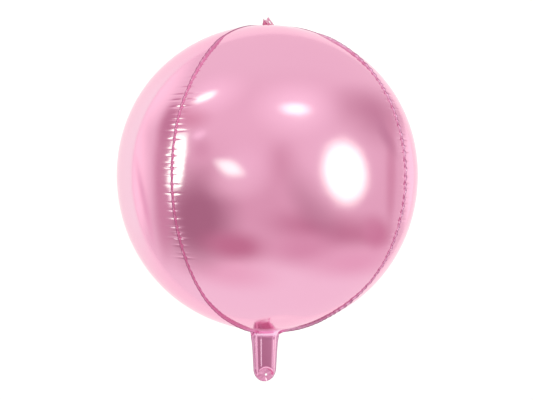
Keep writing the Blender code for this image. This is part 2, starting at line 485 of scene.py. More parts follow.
@dataclass
class FilmPanel:
    """One film panel: skin, its leaf of the two welded flanges and, on a wall panel, one wall of the neck."""

    name: str
    kind: PanelKind
    turn: Turn
    ball: BallForm
    neck: NeckForm
    seams: dict[int, Seam]
    settling: Settling = Settling()
    skin_columns: int = 60
    flange_columns: int = 4
    crown_rows: int = 13
    close_pitch: float = 0.0008
    wide_pitch: float = 0.0022
    close_from: float = 50.0
    close_to: float = -35.0
    shoulder_rows: int = 18
    neck_rows: int = 44
    tab_rows: int = 22
    leaf_offset: float = 0.00020
    film: float = 0.00014
    least_radius: float = 0.0004
    side_end: float = 0.93
    hollow_depth: float = 0.0033
    hollow_reach: float = 0.038
    foot_share: float = 0.5
    foot_reach: float = 0.0045
    side_stretch: float = 1.5
    bunching: float = 0.45
    crumple: float = 0.0006
    lip_wave: float = 0.10
    crown_reach: float = 0.0140
    tail_pitch: float = 0.0013
    tab_sweep: float = 86.0
    handles: Span = (0.62, 0.55)
    gather_above: Fade = Fade(34.0, 50.0, 0.80)
    gather_below: Fade = Fade(-23.0, -32.0, 0.96)
    gather_poles: Fade = Fade(62.0, 82.0)
    relief_poles: Fade = Fade(60.0, 80.0)
    wave_poles: Fade = Fade(46.0, 64.0, 0.6)
    wave_shoulder: Fade = Fade(0.0, 0.6)
    blend_span: Span = (0.1, 1.0)
    hollow_start: Span = (-49.0, -62.0)
    hollow_end: Fade = Fade(-62.0, -81.0)
    fin_fade: Fade = Fade(0.012, 0.016)
    wall_spread: Table = ((-1.0, -1.0), (-0.25, -0.30), (0.20, 0.38), (1.0, 1.0))

    def rows(self) -> Rows:
        """Lay out the stations: crown, ball, shoulder and, on a wall panel, neck and flat end.

        Returns:
            The stations.
        """
        ball, neck = self.ball, self.neck
        reach = math.asin(self.crown_reach / ball.radius)
        shoulder_polar = math.pi - math.asin(neck.shoulder_radius / ball.radius)
        crown = np.linspace(math.asin(self.least_radius / ball.radius), reach, self.crown_rows)[:-1]
        stops = (reach, math.radians(90 - self.close_from), math.radians(90 - self.close_to), shoulder_polar)
        pitches = (self.wide_pitch, self.close_pitch, self.wide_pitch)
        spans = []
        for start, stop, pitch in zip(stops, stops[1:], pitches):
            count = round((stop - start) * ball.radius / pitch)
            spans.append(np.linspace(start, stop, count + 1)[:-1])
        polar = np.concatenate([crown, *spans, [shoulder_polar]])
        radius, along, out, up = ball.profile(polar)
        last = self.side_end if self.kind is PanelKind.SIDE else 1.0
        shoulder = np.linspace(0.0, last, self.shoulder_rows + 1)[1:]
        parts = [np.zeros_like(polar), shoulder]
        neck_along = np.zeros(0)
        if self.kind is PanelKind.WALL:
            tube = np.linspace(neck.root, neck.tab_root, self.neck_rows + 1)[1:]
            turns = np.linspace(0.0, math.radians(self.tab_sweep), self.tab_rows + 1)[1:]
            tab = neck.tab_root - neck.tab_length * np.sin(turns) * 0.999
            neck_along = np.concatenate([tube, tab])
            parts.append(np.ones_like(neck_along))
        shoulder_share = np.concatenate(parts)
        extra = len(shoulder_share) - len(polar)

        def extended(values: np.ndarray) -> np.ndarray:
            """Repeat the ball's last value for the rows below it."""
            return np.concatenate([values, np.full(extra, values[-1])])

        place = extended(along)
        is_neck = np.arange(len(place)) >= len(place) - len(neck_along)
        place[is_neck] = neck_along
        steps = np.hypot(np.diff(radius), np.diff(along))
        path = np.concatenate([[0.0], np.cumsum(steps)])
        tail = path[-1] + np.arange(1, extra + 1) * self.tail_pitch
        return Rows(
            radius=extended(radius),
            along=place,
            out=extended(out),
            up=extended(up),
            path=np.concatenate([path, tail]),
            shoulder=shoulder_share,
            neck=is_neck,
            polar=extended(polar),
        )

    def gather_strength(self, rows: Rows) -> np.ndarray:
        """How strong the gathers are in each row: full round the ball's middle and fading to its poles.

        Args:
            rows: The panel's stations.

        Returns:
            The strengths, from 0 to 1.
        """
        place = latitude(rows.polar)
        return self.gather_above.at(place) * self.gather_below.at(place) * self.gather_poles.at(np.abs(place))

    def relief_strength(self, rows: Rows) -> np.ndarray:
        """1 over most of the ball, and 0 near its two poles, where the skin is smooth."""
        return self.relief_poles.at(np.abs(latitude(rows.polar)))

    def wave_strength(self, rows: Rows) -> np.ndarray:
        """How strongly the flange waves in each row: everywhere on the ball, and not on the neck."""
        return self.wave_poles.at(np.abs(latitude(rows.polar))) * self.wave_shoulder.at(rows.shoulder)

    def hollow(self, rows: Rows, across: np.ndarray) -> np.ndarray:
        """Depth of the slight hollow above the neck on the front panel, which draws out its reflection.

        Args:
            rows: The panel's stations.
            across: Places across the panel, in metres.

        Returns:
            The depths.
        """
        if self.turn is not Turn.FRONT:
            return np.zeros(across.shape)
        place = latitude(rows.polar)
        down = smooth_step(*self.hollow_start, place) * self.hollow_end.at(place)
        return self.hollow_depth * down[:, None] * np.exp(-((across / self.hollow_reach) ** 2))

    def lateral(self, side: int) -> np.ndarray:
        """The way across a seam towards a larger turn, in the panel's own frame."""
        return np.array([DIAGONAL, 0.0, -side * DIAGONAL])

    def seam_at(self, side: int) -> Seam:
        """The seam on the panel's +X side (1) or -X side (-1)."""
        return self.seams[round(self.turn.value + 45 * side) % 360]

    def neck_point(self, place: np.ndarray, along: np.ndarray) -> np.ndarray:
        """Points of the neck's wall, or of the neck's edge where a side panel ends.

        Args:
            place: Places across the panel, from -1 to 1, as a row of the result.
            along: Places along the axis, one for each row of the result.

        Returns:
            Points in the panel's own frame, with the panel facing +Z.
        """
        if self.kind is PanelKind.WALL:
            spread = np.interp(np.linspace(-1.0, 1.0, len(place)), *zip(*self.wall_spread))
            place = -spread[::-1] if self.turn is Turn.BACK else spread
        along_grid, place_grid = np.broadcast_arrays(along[:, None], place[None, :])
        inner = self.neck.half_width(along_grid) * self.neck.inner_share
        down = (along_grid + self.ball.neck_rise) / (self.ball.neck_rise - self.ball.neck_end)
        lean = self.neck.shift + self.neck.lean * down
        if self.kind is PanelKind.SIDE:
            sign = 1.0 if self.turn is Turn.RIGHT else -1.0
            return np.stack([np.zeros_like(inner), along_grid, inner + sign * lean], axis=-1)
        across = inner * place_grid
        mirror = -1.0 if self.turn is Turn.BACK else 1.0
        height = self.neck.bulge(along_grid, place_grid * mirror, across * mirror) + self.leaf_offset
        height = height + mirror * self.neck.tab_crinkle(along_grid, mirror * across)
        return np.stack([across + mirror * lean, along_grid, height], axis=-1)

    def skin(self, rows: Rows, place: np.ndarray) -> np.ndarray:
        """Points of the skin, row by row from the crown.

        Args:
            rows: The panel's stations.
            place: Places across the panel, from -1 to 1.

        Returns:
            Points in the panel's own frame, indexed by row and column.
        """
        ratio = np.clip(self.leaf_offset / rows.radius, 0.0, 0.69)
        foot_angle = math.radians(45.0) - np.arcsin(ratio)
        angle = foot_angle[:, None] * place[None, :]
        sine, cosine = np.sin(angle), np.cos(angle)
        radius, out = rows.radius[:, None], rows.out[:, None]
        up = np.broadcast_to(rows.up[:, None], angle.shape)
        normal = np.stack([out * sine, up, out * cosine], axis=-1)
        level = np.broadcast_to(rows.along[:, None], angle.shape)
        points = np.stack([radius * sine, level, radius * cosine], axis=-1)
        strength = self.gather_strength(rows)[:, None]
        along = np.broadcast_to(rows.path[:, None], angle.shape)
        depth = np.zeros(angle.shape)
        stretch = 1.0 if self.kind is PanelKind.WALL else self.side_stretch
        swing = np.zeros(points.shape)
        for side in (-1, 1):
            seam = self.seam_at(side)
            away = radius * np.abs(side * foot_angle[:, None] - angle)
            depth += seam.relief(along, away, strength, stretch)
            pull = self.foot_share * seam.sideways(rows.path, self.wave_strength(rows))[:, None]
            pull = pull * np.exp(-((away / self.foot_reach) ** 2))
            swing += pull[..., None] * self.lateral(side)
        depth = depth * self.relief_strength(rows)[:, None] + self.hollow(rows, points[..., 0])
        points = points - normal * depth[..., None] + swing
        return self.with_shoulder(rows, place, points)

    def with_shoulder(self, rows: Rows, place: np.ndarray, points: np.ndarray) -> np.ndarray:
        """Bend the rows below the ball from the skin's own direction into the neck's.

        Args:
            rows: The panel's stations.
            place: Places across the panel, from -1 to 1.
            points: Points of the skin, right only on the ball.

        Returns:
            The same points, with the shoulder and the neck in place.
        """
        below = rows.shoulder > 0
        first = int(np.argmax(below))
        start = points[first - 1]
        direction = points[first - 1] - points[first - 2]
        direction /= np.linalg.norm(direction, axis=-1, keepdims=True)
        end = self.neck_point(place, np.array([self.neck.root]))[0]
        reach = np.linalg.norm((end - start)[:, [0, 2]], axis=-1, keepdims=True)
        share = rows.shoulder[below & ~rows.neck][:, None, None]
        handle_a = start + direction * reach * self.handles[0]
        handle_b = end + np.array([0.0, 1.0, 0.0]) * self.neck.shoulder_drop * self.handles[1]
        bend = (
            (1 - share) ** 3 * start
            + 3 * (1 - share) ** 2 * share * handle_a
            + 3 * (1 - share) * share**2 * handle_b
            + share**3 * end
        )
        points[below & ~rows.neck] = bend
        if rows.neck.any():
            points[rows.neck] = self.neck_point(place, rows.along[rows.neck])
        return points

    def flange(self, rows: Rows, foot: np.ndarray, side: int) -> np.ndarray:
        """Points of one leaf of a welded flange, from its free edge to the skin.

        Args:
            rows: The panel's stations.
            foot: The skin's outermost points on this side.
            side: 1 for the panel's +X side, -1 for its -X side.

        Returns:
            Points in the panel's own frame, indexed by row and column, the free edge first.
        """
        seam = self.seam_at(side)
        ball_way = np.stack([side * DIAGONAL * rows.out, rows.up, DIAGONAL * rows.out], axis=-1)
        neck_way = np.array([float(side), 0.0, 0.0] if self.kind is PanelKind.WALL else [0.0, 0.0, 1.0])
        blend = smooth_step(*self.blend_span, rows.shoulder)[:, None]
        way = ball_way * (1 - blend) + neck_way * blend
        way /= np.linalg.norm(way, axis=-1, keepdims=True)
        height = seam.stand(rows.radius, rows.polar)
        margin = self.neck.edge_width(np.where(rows.neck, rows.along, self.neck.root))
        dip = seam.relief(rows.path, np.zeros_like(rows.path), self.gather_strength(rows), 1.0)
        height = height + dip * self.relief_strength(rows)
        fillet = self.neck.fillet * np.sin(math.pi * np.clip(rows.shoulder, 0.0, 1.0)) ** 2
        height = np.where(rows.neck, margin, height + (margin - height) * blend[:, 0] + fillet)
        strength = self.wave_strength(rows)
        swing = (1 - self.foot_share) * seam.sideways(rows.path, strength)
        lip = 1 + self.lip_wave * np.sin(2 * math.pi * seam.gather_count(rows.path) + 1.0) * strength
        in_fin = (rows.polar < math.pi / 2) * self.fin_fade.at(rows.radius)
        bend = seam.lean(rows.polar) * (1 - in_fin) * (1 - blend[:, 0])
        way = way * np.cos(bend)[:, None] + self.lateral(side)[None, :] * np.sin(bend)[:, None]
        shares = 1 - np.arange(self.flange_columns) / self.flange_columns
        points = []
        for share in shares:
            rise = way * (height * lip * share)[:, None]
            crumple = self.crumple * in_fin * share * np.sin(5.0 * share + 900.0 * rows.radius + seam.turn)
            sway = self.lateral(side)[None, :] * (swing * share**1.5 + crumple)[:, None]
            points.append(foot + rise + sway)
        return np.stack(points, axis=1)

    def placed(self, points: np.ndarray, rows: Rows) -> np.ndarray:
        """Turn points from the panel's own frame into the balloon's, and rest the back panel on the floor.

        Args:
            points: Points in the panel's own frame, indexed by row and column.
            rows: The panel's stations.

        Returns:
            The points in the balloon's frame.
        """
        seam_turns = [self.seam_at(side).drift(rows.polar, rows.shoulder)[:, None] for side in (-1, 1)]
        flange = np.zeros(self.flange_columns)
        share = np.concatenate([flange, (self.columns() + 1) / 2, flange + 1])[None, :]
        turn = self.turn.value + self.settling.turn(rows.polar, rows.shoulder)[:, None]
        turn = np.radians(turn + seam_turns[0] * (1 - share) + seam_turns[1] * share)
        x = np.cos(turn) * points[..., 0] + np.sin(turn) * points[..., 2]
        z = -np.sin(turn) * points[..., 0] + np.cos(turn) * points[..., 2]
        x = x + self.settling.shift(rows.radius, rows.polar)[:, None]
        height = np.maximum(z + self.ball.centre_height, 0.0)
        return np.stack([x, points[..., 1], height], axis=-1)

    def columns(self) -> np.ndarray:
        """Places across the skin, closer together near the seams."""
        even = np.linspace(-1.0, 1.0, self.skin_columns + 1)
        return (1 - self.bunching) * even + self.bunching * np.sin(even * math.pi / 2)

    def build(self, finishes: "list[bpy.types.Material]") -> bpy.types.Object:
        """Model the panel from a grid, give it the film's thickness and dress it.

        Args:
            finishes: The skin's material and the welded flange's.

        Returns:
            The finished panel.
        """
        rows, place = self.rows(), self.columns()
        skin = self.skin(rows, place)
        left = self.flange(rows, skin[:, 0], -1)
        right = self.flange(rows, skin[:, -1], 1)[:, ::-1]
        table = np.concatenate([left, skin, right], axis=1)[::-1]
        row_count, column_count = table.shape[:2]
        deselect_all()
        bpy.ops.mesh.primitive_grid_add(
            x_subdivisions=column_count - 1, y_subdivisions=row_count - 1, size=2.0, calc_uvs=True
        )
        panel = bpy.context.active_object
        panel.name = panel.data.name = self.name
        placed = self.placed(table[::-1], rows)[::-1]
        panel.data.vertices.foreach_set("co", placed.astype(np.float32).ravel())
        self._lay_uvs(panel.data, rows, table)
        self._dress(panel.data, finishes, column_count)
        solid = panel.modifiers.new("film", "SOLIDIFY")
        solid.thickness = self.film
        solid.offset = -1.0
        apply_modifier(panel, solid)
        return panel

    def _lay_uvs(self, mesh: bpy.types.Mesh, rows: Rows, table: np.ndarray) -> None:
        """Map the film in metres: down from the crown, and in from the nearer free edge.

        Args:
            mesh: The panel's mesh.
            rows: The panel's stations.
            table: The panel's points, in the order of the mesh's corners.
        """
        steps = np.linalg.norm(np.diff(table, axis=1), axis=-1)
        across = np.concatenate([np.zeros((table.shape[0], 1)), np.cumsum(steps, axis=1)], axis=1)
        across = np.minimum(across, across[:, -1:] - across)
        along = np.broadcast_to(rows.path[::-1][:, None], across.shape)
        pairs = np.stack([along, across], axis=-1).reshape(-1, 2)
        corners = np.empty(len(mesh.loops), np.int32)
        mesh.loops.foreach_get("vertex_index", corners)
        mesh.uv_layers[0].data.foreach_set("uv", pairs[corners].astype(np.float32).ravel())

    def _dress(self, mesh: bpy.types.Mesh, finishes: "list[bpy.types.Material]", columns: int) -> None:
        """Give the skin the first finish and the flanges and welded margins the second.

        Args:
            mesh: The panel's mesh.
            finishes: The skin's material and the welded flange's.
            columns: How many corners the grid has across.
        """
        for finish in finishes:
            mesh.materials.append(finish)
        faces_across = columns - 1
        column = np.arange(len(mesh.polygons)) % faces_across
        welded = (column < self.flange_columns) | (column >= faces_across - self.flange_columns)
        mesh.polygons.foreach_set("material_index", welded.astype(np.int32))


@dataclass
class Punch:
    """A hole punched through welded film by a round or a long cutter."""

    name: str
    centre: Vector
    axis: Vector
    radius: float
    stretch: float = 1.0
    stretch_way: Vector = field(default_factory=lambda: Vector((1, 0, 0)))
    depth: float = 0.012
    sides: int = 28

    def cut(self, panel: bpy.types.Object) -> None:
        """Take the hole out of one panel.

        Args:
            panel: The panel to cut.
        """
        across = self.axis.normalized()
        long_way = self.stretch_way.normalized()
        side = across.cross(long_way)
        turn = Matrix((long_way, side, across)).transposed().to_4x4()
        deselect_all()
        bpy.ops.mesh.primitive_cylinder_add(vertices=self.sides, radius=self.radius, depth=self.depth)
        cutter = bpy.context.active_object
        cutter.name = self.name
        stretch = Matrix.Diagonal((self.stretch, 1.0, 1.0, 1.0))
        cutter.data.transform(Matrix.Translation(self.centre) @ turn @ stretch)
        hole = panel.modifiers.new("hole", "BOOLEAN")
        hole.operation = "DIFFERENCE"
        hole.solver = "EXACT"
        hole.object = cutter
        apply_modifier(panel, hole)
        bpy.data.objects.remove(cutter, do_unlink=True)


class NodeBench:
    """Adds nodes to a tree, links them and sets their plain values."""

    def __init__(self, tree: bpy.types.NodeTree) -> None:
        """Keep the tree that nodes are added to."""
        self.tree = tree

    def add(self, kind: str, settings: "dict[str, object] | None" = None, **inputs: object) -> bpy.types.Node:
        """Add one node.

        Args:
            kind: The node's type, without the ShaderNode at its front.
            settings: Properties of the node itself.
            inputs: Plain values or sockets for the node's inputs, with _ for a space in an input's name.

        Returns:
            The new node.
        """
        node = self.tree.nodes.new("ShaderNode" + kind)
        for name, value in (settings or {}).items():
            setattr(node, name, value)
        self.set(node, **inputs)
        return node

    def set(self, node: bpy.types.Node, **inputs: object) -> None:
        """Set a node's inputs to plain values or sockets, with _ for a space in an input's name."""
        for name, value in inputs.items():
            self.feed(node.inputs[name.replace("_", " ")], value)

    def feed(self, socket: bpy.types.NodeSocket, value: object) -> None:
        """Link a socket to another, or set its plain value, with a colour given by its three parts.

        Args:
            socket: The input to feed.
            value: A plain value or another node's output.
        """
        if isinstance(value, bpy.types.NodeSocket):
            self.tree.links.new(value, socket)
        elif socket.type == "RGBA":
            socket.default_value = (*value, 1.0)
        else:
            socket.default_value = value

    def feed_all(self, node: bpy.types.Node, values: "tuple[object, ...]") -> bpy.types.Node:
        """Feed a node's first inputs in their order."""
        for socket, value in zip(node.inputs, values):
            self.feed(socket, value)
        return node

    def math(self, operation: str, *values: object) -> bpy.types.NodeSocket:
        """One Math node's result."""
        return self.feed_all(self.add("Math", {"operation": operation}), values).outputs[0]

    def vector(self, operation: str, *values: object) -> bpy.types.Node:
        """One Vector Math node."""
        return self.feed_all(self.add("VectorMath", {"operation": operation}), values)

    def ramp(self, value: object, low: float, high: float, start: float, end: float) -> bpy.types.NodeSocket:
        """Ease a value from start at low to end at high."""
        node = self.add("MapRange", {"interpolation_type": "SMOOTHSTEP"})
        return self.feed_all(node, (value, low, high, start, end)).outputs[0]

    def mix(self, share: object, first: object, second: object) -> bpy.types.NodeSocket:
        """Mix two colours.

        Args:
            share: The second colour's share.
            first: The first colour.
            second: The second colour.

        Returns:
            The mixed colour.
        """
        node = self.add("Mix", {"data_type": "RGBA"})
        for number, value in ((0, share), (6, first), (7, second)):
            self.feed(node.inputs[number], value)
        return node.outputs[2]

    def parts(self, vector: bpy.types.NodeSocket) -> bpy.types.bpy_prop_collection:
        """A vector's X, Y and Z."""
        return self.add("SeparateXYZ", Vector=vector).outputs


class GroupBench(NodeBench):
    """Builds one shared node group."""

    def __init__(self, name: str, given: "dict[str, str]", result: "dict[str, str]") -> None:
        """Start the group with its sockets.

        Args:
            name: The group's name.
            given: The kind of each input, by its name.
            result: The kind of each output, by its name.
        """
        super().__init__(bpy.data.node_groups.new(name, "ShaderNodeTree"))
        for sockets, way in ((given, "INPUT"), (result, "OUTPUT")):
            for socket, kind in sockets.items():
                self.tree.interface.new_socket(socket, in_out=way, socket_type="NodeSocket" + kind)
        self.given = self.tree.nodes.new("NodeGroupInput").outputs
        self.result = self.tree.nodes.new("NodeGroupOutput")


def film_effect() -> bpy.types.NodeTree:
    """The shared effect of drawn film: slow ripples, faint tint change and uneven haze.

    Returns:
        A node group with Coordinates, Ripple, Haze Low and Haze High in, and Tint, Roughness and Normal out.
    """
    bench = GroupBench(
        "drawn_film",
        {"Coordinates": "Vector", "Ripple": "Float", "Haze Low": "Float", "Haze High": "Float"},
        {"Tint": "Float", "Roughness": "Float", "Normal": "Vector"},
    )
    given = bench.given
    where = given["Coordinates"]
    slow, middle, fine = (
        bench.add("TexNoise", Vector=where, Scale=scale, Detail=detail, Roughness=rough).outputs["Fac"]
        for scale, detail, rough in ((7.0, 1.5, 0.4), (42.0, 2.0, 0.45), (900.0, 2.0, 0.6))
    )
    height = bench.math("ADD", slow, bench.math("MULTIPLY", middle, 0.10))
    height = bench.math("ADD", height, bench.math("MULTIPLY", fine, 0.0012))
    bump = bench.add("Bump", Strength=1.0, Distance=given["Ripple"], Height=height)
    haze = bench.add("MapRange", Value=middle, From_Min=0.3, From_Max=0.7)
    bench.set(haze, To_Min=given["Haze Low"], To_Max=given["Haze High"])
    bench.set(bench.result, Tint=slow, Roughness=haze.outputs[0], Normal=bump.outputs["Normal"])
    return bench.tree


@dataclass
class Coat:
    """One material being made: a bench for its nodes, its shader and the shared effect in it."""

    name: str
    effect: bpy.types.NodeTree
    ripple: float
    haze: Span

    def __post_init__(self) -> None:
        """Make the material and place the shared effect in it, with this coat's own values."""
        self.material = bpy.data.materials.new(self.name)
        self.material.use_nodes = True
        self.bench = NodeBench(self.material.node_tree)
        self.shader = self.material.node_tree.nodes["Principled BSDF"]
        self.where = self.bench.add("TexCoord").outputs["Object"]
        film = self.bench.add("Group", {"node_tree": self.effect}, Coordinates=self.where, Ripple=self.ripple)
        self.bench.set(film, Haze_Low=self.haze[0], Haze_High=self.haze[1])
        self.film = film.outputs


@dataclass(frozen=True)
class FoilFinish:
    """Pink metallised film: a tinted mirror with faint ripples and haze."""

    name: str = "pink_film"
    tint: Colour = (0.865, 0.430, 0.600)
    other_tint: Colour = (0.875, 0.455, 0.620)
    rim_tint: Colour = (1.0, 0.84, 0.90)
    # Painted reflection: a paler lavender tint painted onto the film round the neck's root, to lighten what
    # it reflects there.
    root_reflection_tint: Colour = (0.97, 0.62, 0.84)
    root_reflection_span: Span = (-0.207, -0.198)
    neck_tint: Colour = (0.96, 0.49, 0.70)
    neck_span: Span = (-0.224, -0.206)
    crumple_haze: float = 0.26
    crumple_from: Span = (-0.212, -0.206)
    crumple_to: Span = (-0.201, -0.193)
    ripple: float = 0.0009
    haze: Span = (0.10, 0.14)

    def material(self, effect: bpy.types.NodeTree) -> bpy.types.Material:
        """Build the film's material, deeper in tone on the neck, painted a paler lavender round its root as a
        painted reflection, and crumpled at its root.

        Args:
            effect: The shared effect of drawn film.

        Returns:
            The material.
        """
        coat = Coat(self.name, effect, self.ripple, self.haze)
        bench = coat.bench
        along = bench.parts(coat.where)["Y"]
        colour = bench.mix(coat.film["Tint"], self.tint, self.other_tint)
        # Painted reflection: the film is painted a paler lavender round the neck's root.
        colour = bench.mix(bench.ramp(along, *self.root_reflection_span, 1.0, 0.0), colour, self.root_reflection_tint)
        colour = bench.mix(bench.ramp(along, *self.neck_span, 1.0, 0.0), colour, self.neck_tint)
        below = bench.ramp(along, *self.crumple_from, 0.0, 1.0)
        crumple = bench.ramp(along, *self.crumple_to, self.crumple_haze, 0.0)
        haze = bench.math("MULTIPLY_ADD", crumple, below, coat.film["Roughness"])
        bench.set(coat.shader, Base_Color=colour, Roughness=haze, Normal=coat.film["Normal"])
        bench.set(coat.shader, Metallic=1.0, Specular_Tint=self.rim_tint)
        return coat.material


@dataclass(frozen=True)
class WeldFinish(FoilFinish):
    """The same film where it is welded: pressed with fine slanting bars, a little duller, with painted shade
    along its free edge and on the crown fins.
    """

    name: str = "welded_film"
    tint: Colour = (0.84, 0.43, 0.64)
    other_tint: Colour = (0.92, 0.54, 0.74)
    # Painted shade: a dark mauve line along the flange's free edge, fading out on the crown fins.
    edge_shade_tint: Colour = (0.52, 0.20, 0.36)
    edge_shade_span: Span = (0.00024, 0.00084)
    edge_shade_loss: float = 0.75
    # Painted shade: the crown fins are painted a darker pink.
    fin_shade_tint: Colour = (0.82, 0.34, 0.52)
    fin_shade_span: Span = (0.012, 0.022)
    haze: Span = (0.32, 0.40)
    bar_pitch: float = 0.0024
    bar_slant: float = 0.8
    bar_depth: float = 0.00004

    def material(self, effect: bpy.types.NodeTree) -> bpy.types.Material:
        """Build the welded film's material, with bars that follow the seam, and painted shade along the free
        edge and on the crown fins.

        Args:
            effect: The shared effect of drawn film.

        Returns:
            The material.
        """
        coat = Coat(self.name, effect, self.ripple, self.haze)
        bench = coat.bench
        split = bench.parts(bench.add("UVMap").outputs["UV"])
        slant = bench.math("MULTIPLY_ADD", split["Y"], self.bar_slant, split["X"])
        phase = bench.math("MULTIPLY", slant, 2 * math.pi / self.bar_pitch)
        bars = bench.math("MULTIPLY_ADD", bench.math("SINE", phase), 0.5, 0.5)
        colour = bench.mix(bars, self.tint, self.other_tint)
        # Painted shade: the film near the crown, on the fins, is painted a darker pink.
        fin = bench.ramp(split["X"], *self.fin_shade_span, 1.0, 0.0)
        colour = bench.mix(fin, colour, self.fin_shade_tint)
        # Painted shade: darken the film towards the flange's free edge, less so on the crown fins.
        edge = bench.ramp(split["Y"], *self.edge_shade_span, 1.0, 0.0)
        edge = bench.math("MULTIPLY", edge, bench.math("MULTIPLY_ADD", fin, -self.edge_shade_loss, 1.0))
        colour = bench.mix(edge, colour, self.edge_shade_tint)
        bump = bench.add("Bump", Strength=1.0, Distance=self.bar_depth, Height=bars)
        bench.set(bump, Normal=coat.film["Normal"])
        bench.set(coat.shader, Base_Color=colour, Normal=bump.outputs["Normal"])
        bench.set(coat.shader, Roughness=coat.film["Roughness"])
        bench.set(coat.shader, Metallic=1.0, Specular_Tint=self.rim_tint)
        return coat.material


@dataclass(frozen=True)
class ViewPlan:
    """The photograph's view: where the camera stands, and where the ball shows in the picture."""

    ball: BallForm
    width: float = 533.0
    height: float = 400.0
    ball_pixel: Pixel = (267.3, 175.8)
    ball_pixel_radius: float = 150.0
    distance: float = 1.1
    turn: float = 12.0
    roll: float = 0.45
    sensor: float = 36.0

    @property
    def focal_pixels(self) -> float:
        """The camera's focal length, in pixels of the picture."""
        edge = math.asin(self.ball.radius / self.distance)
        return self.ball_pixel_radius / math.tan(edge)

    def axes(self) -> "tuple[Vector, Vector, Vector]":
        """Work out the picture's own directions.

        Returns:
            The picture's right and up, and the way from the ball to the camera.
        """
        turn = math.radians(self.turn)
        back = Vector((-math.sin(turn), 0.0, math.cos(turn)))
        right = Vector((math.cos(turn), 0.0, math.sin(turn)))
        up = Vector((0.0, 1.0, 0.0))
        roll = Matrix.Rotation(math.radians(self.roll), 3, back)
        return roll @ right, roll @ up, back

    def mirror_place(self, pixel: Pixel) -> "tuple[float, float]":
        """Where a far light has to be for its reflection to show at a pixel of the ball.

        Args:
            pixel: The reflection's place in the picture.

        Returns:
            The light's place in the far mirror-ball map: the right and up parts of the half-way direction.
        """
        across = (pixel[0] - self.ball_pixel[0]) / self.focal_pixels
        rise = (self.ball_pixel[1] - pixel[1]) / self.focal_pixels
        slope = math.hypot(across, rise)
        most = math.tan(math.asin(self.ball.radius / self.distance)) * 0.999
        if slope > most:
            across, rise = across * most / slope, rise * most / slope
        ray = Vector((across, rise, -1.0)).normalized()
        eye = Vector((0.0, 0.0, self.distance))
        middle = -eye.dot(ray)
        hit_distance = middle - math.sqrt(max(middle**2 - eye.length_squared + self.ball.radius**2, 0.0))
        normal = (eye + ray * hit_distance).normalized()
        bounced = ray - normal * (2.0 * ray.dot(normal))
        half = (bounced + Vector((0.0, 0.0, 1.0))).normalized()
        return half.x, half.y

    def add_camera(self) -> None:
        """Set up the camera, aimed so that the ball shows at its place in the photograph."""
        right, up, back = self.axes()
        data = bpy.data.cameras.new("view")
        data.sensor_width = self.sensor
        data.lens = self.sensor * self.focal_pixels / self.width
        camera = bpy.data.objects.new("view", data)
        turned = Matrix((right, up, back)).transposed()
        side = math.atan((self.width / 2 - self.ball_pixel[0]) / self.focal_pixels)
        tilt = -math.atan((self.height / 2 - self.ball_pixel[1]) / self.focal_pixels)
        aim = turned @ Matrix.Rotation(-side, 3, "Y") @ Matrix.Rotation(tilt, 3, "X")
        middle = Vector((0.0, 0.0, self.ball.centre_height))
        camera.matrix_world = Matrix.Translation(middle + back * self.distance) @ aim.to_4x4()
        bpy.context.scene.collection.objects.link(camera)
        bpy.context.scene.camera = camera


@dataclass(frozen=True)
class Patch:
    """One soft light or dim part of the studio, given by where and how large its reflection shows."""

    name: str
    pixel: Pixel
    half_size: Pixel
    colour: Colour
    tilt: float = 0.0
    soft: float = 0.4
    shear: float = 0.0
    squareness: float = 2.0


def patch_effect() -> bpy.types.NodeTree:
    """The shared mask of a studio patch.

    Returns:
        A node group that gives 1 inside a soft oval or soft rectangle of the mirror-ball map and 0 outside.
    """
    places = dict.fromkeys(("Place", "Centre", "Across", "Rise"), "Vector")
    bench = GroupBench("studio_patch", {**places, "Power": "Float", "Soft": "Float"}, {"Mask": "Float"})
    given = bench.given
    offset = bench.vector("SUBTRACT", given["Place"], given["Centre"]).outputs[0]
    powers = []
    for axis in ("Across", "Rise"):
        reach = bench.vector("DOT_PRODUCT", offset, given[axis]).outputs["Value"]
        powers.append(bench.math("POWER", bench.math("ABSOLUTE", reach), given["Power"]))
    inverse = bench.math("DIVIDE", 1.0, given["Power"])
    distance = bench.math("POWER", bench.math("ADD", *powers), inverse)
    low = bench.math("SUBTRACT", 1.0, given["Soft"])
    high = bench.math("ADD", 1.0, given["Soft"])
    bench.set(bench.result, Mask=bench.ramp(distance, low, high, 1.0, 0.0))
    return bench.tree


